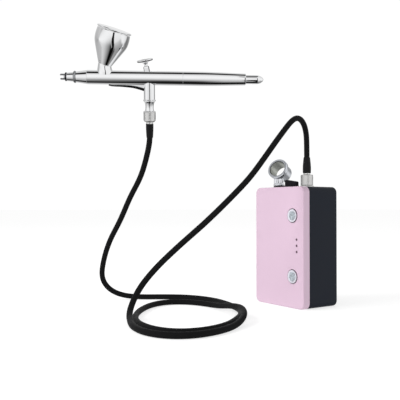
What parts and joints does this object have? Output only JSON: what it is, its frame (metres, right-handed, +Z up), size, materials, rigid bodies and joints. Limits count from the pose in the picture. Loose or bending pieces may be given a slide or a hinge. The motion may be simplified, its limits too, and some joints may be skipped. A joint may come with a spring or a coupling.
{
  "type": "airbrush compressor",
  "caption": "Cordless airbrush kit: upright box compressor with press buttons and swivel holder, thin air hose, and a gravity-feed airbrush with cup and trigger.",
  "frame": {"origin": "centre of the compressor case's flat underside, on the table", "axes": "+Z up, -Y out of the coloured front cover with the buttons, +X to the right seen from the front"},
  "size_m": [0.185, 0.2059, 0.2257],
  "materials": {
    "cover_pink": "satin",
    "shell_charcoal": "matte",
    "button_silver": "brushed",
    "lamp_smoke": "tinted",
    "screw_steel": "plain",
    "board_green": "solder mask",
    "switch_black": "moulded",
    "socket_steel": "stamped",
    "cell_wrap": "wrapped",
    "tab_nickel": "plain",
    "inner_black": "moulded",
    "motor_steel": "plated",
    "inner_white": "moulded",
    "cushion_rubber": "foam",
    "armature": "wound",
    "diaphragm_rubber": "moulded",
    "tube_silicone": "clear",
    "fitting_nickel": "plated",
    "nut_brass": "turned",
    "holder_black": "moulded",
    "chrome": "polished",
    "hose_black": "braided",
    "nozzle_brass": "turned",
    "seat_ptfe": "turned",
    "spring_steel": "wound"
  },
  "bodies": {
    "compressor": {"rear_shell": "shell_charcoal", "front_cover": "cover_pink", "lamp_pipes": "lamp_smoke", "case_screws": "screw_steel", "control_board": "board_green", "board_screws": "screw_steel", "tact_switches": "switch_black", "charge_board": "board_green", "charge_socket": "socket_steel", "battery_cell": "cell_wrap", "battery_tabs": "tab_nickel", "battery_cradle": "inner_black", "motor_can": "motor_steel", "motor_end": "inner_white", "motor_cushion": "cushion_rubber", "pump_frame": "inner_black", "diaphragm": "diaphragm_rubber", "valve_plate": "inner_white", "pump_head": "inner_black", "pump_screws": "screw_steel", "air_tube": "tube_silicone", "outlet_fitting": "fitting_nickel", "outlet_nut": "nut_brass", "holder_base": "holder_black", "holder_screw": "screw_steel", "hose_nut_pump": "fitting_nickel", "hose_tail_pump": "fitting_nickel", "hose_sleeve_pump": "hose_black", "hose_run_pump": "hose_black", "hose_coil": "hose_black", "hose_run_brush": "hose_black", "hose_sleeve_brush": "hose_black", "hose_tail_brush": "fitting_nickel", "hose_nut_brush": "fitting_nickel"},
    "power_button": {"power_button": "button_silver"},
    "mode_button": {"mode_button": "button_silver"},
    "pump_rotor": {"motor_shaft": "armature", "eccentric_hub": "inner_white"},
    "rocker": {"wobble_rocker": "inner_white"},
    "brush_holder": {"holder_ring": "chrome"},
    "airbrush": {"brush_barrel": "chrome", "spray_head": "chrome", "fluid_nozzle": "nozzle_brass", "air_cap": "chrome", "needle_cap": "chrome", "paint_cup": "chrome", "finger_rest": "chrome", "air_valve": "chrome", "valve_seat": "seat_ptfe", "valve_spring": "spring_steel", "spring_case": "nozzle_brass", "needle_spring": "spring_steel", "handle": "chrome", "tail_screw": "chrome"},
    "valve_plunger": {"valve_plunger": "nozzle_brass"},
    "trigger": {"trigger": "chrome"},
    "needle_set": {"needle": "chrome", "needle_chuck": "chrome", "rear_lever": "chrome"},
    "cup_lid": {"cup_lid": "chrome"}
  },
  "joints": [
    {"name": "power_button_press", "type": "slide", "parent": "compressor", "child": "power_button", "axis": [0, 1, 0], "range_m": [0, 0.0008], "stiffness_N_per_m": 150, "springref_m": -0.002},
    {"name": "mode_button_press", "type": "slide", "parent": "compressor", "child": "mode_button", "axis": [0, 1, 0], "range_m": [0, 0.0008], "stiffness_N_per_m": 150, "springref_m": -0.002},
    {"name": "motor_spin", "type": "hinge", "parent": "compressor", "child": "pump_rotor", "pos_m": [0.014, 0.0043, 0.04], "axis": [0, 0, 1], "continuous": true},
    {"name": "rocker_wobble", "type": "hinge", "parent": "pump_rotor", "child": "rocker", "pos_m": [0.014, 0.0043, 0.058], "axis": [0.1392, 0, 0.9903], "continuous": true},
    {"name": "holder_turn", "type": "hinge", "parent": "compressor", "child": "brush_holder", "pos_m": [-0.017, -0.004, 0.105], "axis": [0, 0, 1], "range_deg": [-25, 90]},
    {"name": "airbrush_swivel", "type": "hinge", "parent": "compressor", "child": "airbrush", "pos_m": [-0.03833, -0.12236, 0.15621], "axis": [0.2508, -0.151, 0.9562], "range_deg": [-60, 60]},
    {"name": "trigger_press", "type": "slide", "parent": "airbrush", "child": "valve_plunger", "axis": [-0.2508, 0.151, -0.9562], "range_m": [0, 0.0025], "stiffness_N_per_m": 300, "springref_m": -0.003, "deforming": ["valve_spring"]},
    {"name": "trigger_pull", "type": "hinge", "parent": "valve_plunger", "child": "trigger", "pos_m": [-0.03168, -0.12636, 0.18155], "axis": [-0.7902, 0.5386, 0.2923], "range_deg": [0, 25], "stiffness_Nm_per_rad": 0.03, "springref_deg": -11.46},
    {"name": "needle_draw", "type": "slide", "parent": "airbrush", "child": "needle_set", "axis": [0.5591, 0.8289, -0.0157], "range_m": [0, 0.004], "deforming": ["needle_spring"]},
    {"name": "lid_lift", "type": "slide", "parent": "airbrush", "child": "cup_lid", "axis": [0.4049, 0.1008, 0.9088], "range_m": [0, 0.02]}
  ],
  "couplings": [
    {"joint": "rocker_wobble", "follows": "motor_spin", "ratio": -1},
    {"joint": "needle_draw", "follows": "trigger_pull", "m_per_rad": 0.00916}
  ]
}
